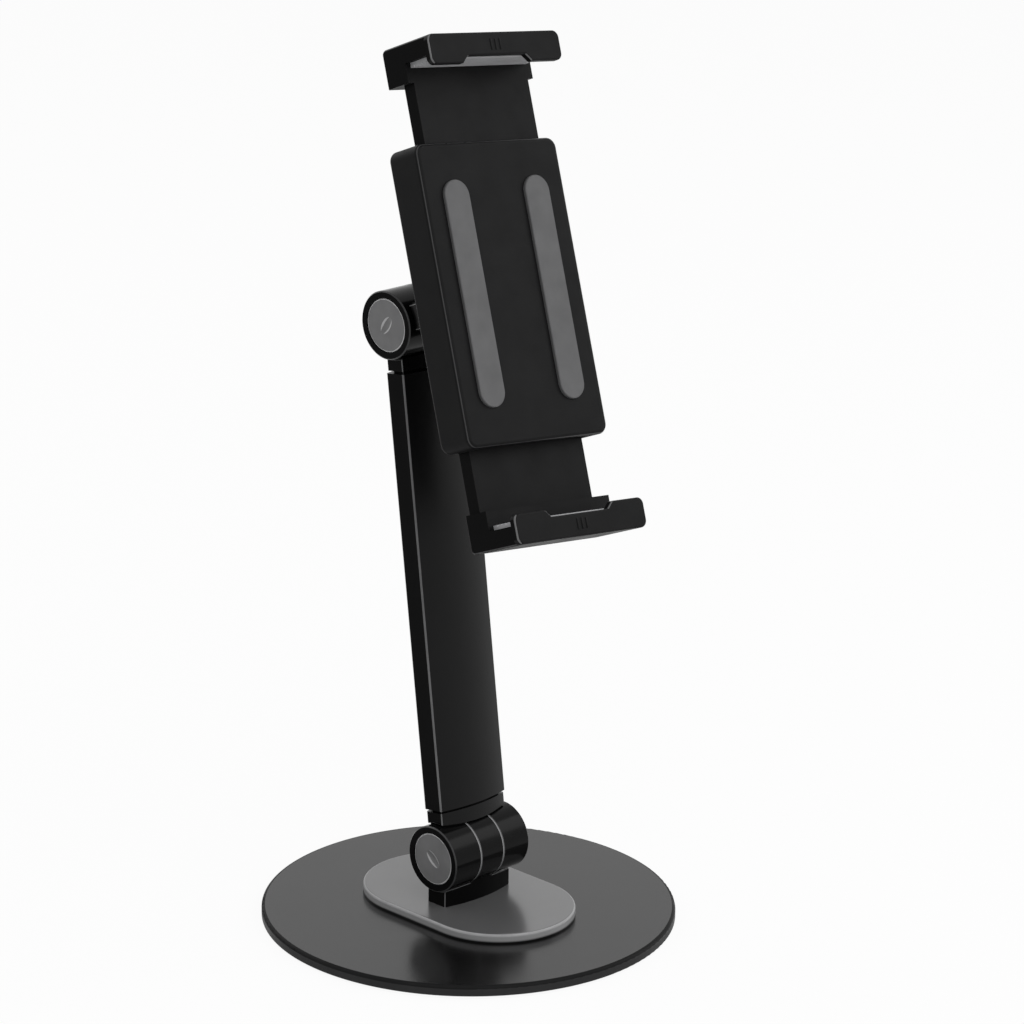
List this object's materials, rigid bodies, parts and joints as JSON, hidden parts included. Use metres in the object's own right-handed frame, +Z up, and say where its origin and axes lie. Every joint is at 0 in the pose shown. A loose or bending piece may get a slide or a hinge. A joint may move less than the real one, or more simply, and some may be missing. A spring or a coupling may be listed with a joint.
{
  "type": "desktop tablet arm holder",
  "caption": "Desktop tablet arm holder with a weighted round base, a leaning arm on friction hinges and a swivelling self-centring clamp with hooked jaws.",
  "frame": {"origin": "on the table, at the middle of the round base's underside", "axes": "+Z up, -Y towards the front, where the clamp faces at rest, +X to the right seen from the front"},
  "size_m": [0.16, 0.16, 0.3466],
  "materials": {
    "black_base": "satin powder coat",
    "grey_cover": "satin",
    "mat_rubber": "matte",
    "black_aluminium": "satin anodised",
    "grey_cap": "satin",
    "steel": "turned",
    "friction_liner": "matte",
    "black_plastic": "fine texture",
    "grey_rubber": "matte",
    "gear_plastic": "matte"
  },
  "bodies": {
    "base": {"base_plate": "black_base", "anti_slip_mat": "mat_rubber", "base_cover": "grey_cover", "base_knuckle": "black_aluminium", "knuckle_screws": "steel", "cover_screws": "steel"},
    "arm": {"arm_tube": "black_aluminium", "fork_screws": "steel", "lower_fork": "black_aluminium", "lower_hinge_bolt": "steel", "lower_hinge_nut": "steel", "lower_friction_washers": "friction_liner", "lower_spring_washers": "steel", "lower_left_cap": "grey_cap", "lower_right_cap": "grey_cap", "upper_fork": "black_aluminium", "upper_hinge_bolt": "steel", "upper_hinge_nut": "steel", "upper_friction_washers": "friction_liner", "upper_spring_washers": "steel", "upper_left_cap": "grey_cap", "upper_right_cap": "grey_cap"},
    "head": {"head_knuckle": "black_aluminium", "swivel_flange": "black_aluminium", "flange_screws": "steel", "swivel_ring": "friction_liner", "swivel_washer": "steel", "swivel_bolt": "steel", "swivel_nut": "steel"},
    "clamp": {"clamp_back_shell": "black_plastic", "clamp_front_cover": "black_plastic", "cover_fixing_screws": "steel", "device_pads": "grey_rubber", "pinion_pin": "steel", "pin_plate": "steel", "upper_spring": "steel", "lower_spring": "steel"},
    "pinion": {"pinion": "gear_plastic"},
    "upper_jaw": {"upper_jaw": "black_plastic", "upper_jaw_lining": "grey_rubber", "upper_spring_pin": "steel"},
    "lower_jaw": {"lower_jaw": "black_plastic", "lower_jaw_lining": "grey_rubber", "lower_spring_pin": "steel"}
  },
  "joints": [
    {"name": "base_hinge", "type": "hinge", "parent": "base", "child": "arm", "pos_m": [0, 0, 0.0282], "axis": [1, 0, 0], "range_deg": [-37.6, 52.4]},
    {"name": "head_hinge", "type": "hinge", "parent": "arm", "child": "head", "pos_m": [0, 0.02669, 0.23367], "axis": [1, 0, 0], "range_deg": [-165.4, 14.6]},
    {"name": "head_swivel", "type": "hinge", "parent": "head", "child": "clamp", "pos_m": [0, 0.02669, 0.23367], "axis": [0, -0.9272, 0.3746], "continuous": true},
    {"name": "lower_jaw_slide", "type": "slide", "parent": "clamp", "child": "lower_jaw", "axis": [-0.108, -0.3724, -0.9218], "range_m": [-0.0222, 0.0248], "deforming": ["lower_spring"]},
    {"name": "upper_jaw_slide", "type": "slide", "parent": "clamp", "child": "upper_jaw", "axis": [0.108, 0.3724, 0.9218], "range_m": [-0.0222, 0.0248], "deforming": ["upper_spring"]},
    {"name": "pinion_turn", "type": "hinge", "parent": "clamp", "child": "pinion", "pos_m": [0, -0.01309, 0.24974], "axis": [0, -0.9272, 0.3746], "range_deg": [-213, 238]}
  ],
  "couplings": [
    {"joint": "upper_jaw_slide", "follows": "lower_jaw_slide", "ratio": 1},
    {"joint": "pinion_turn", "follows": "lower_jaw_slide", "rad_per_m": 166.67}
  ]
}
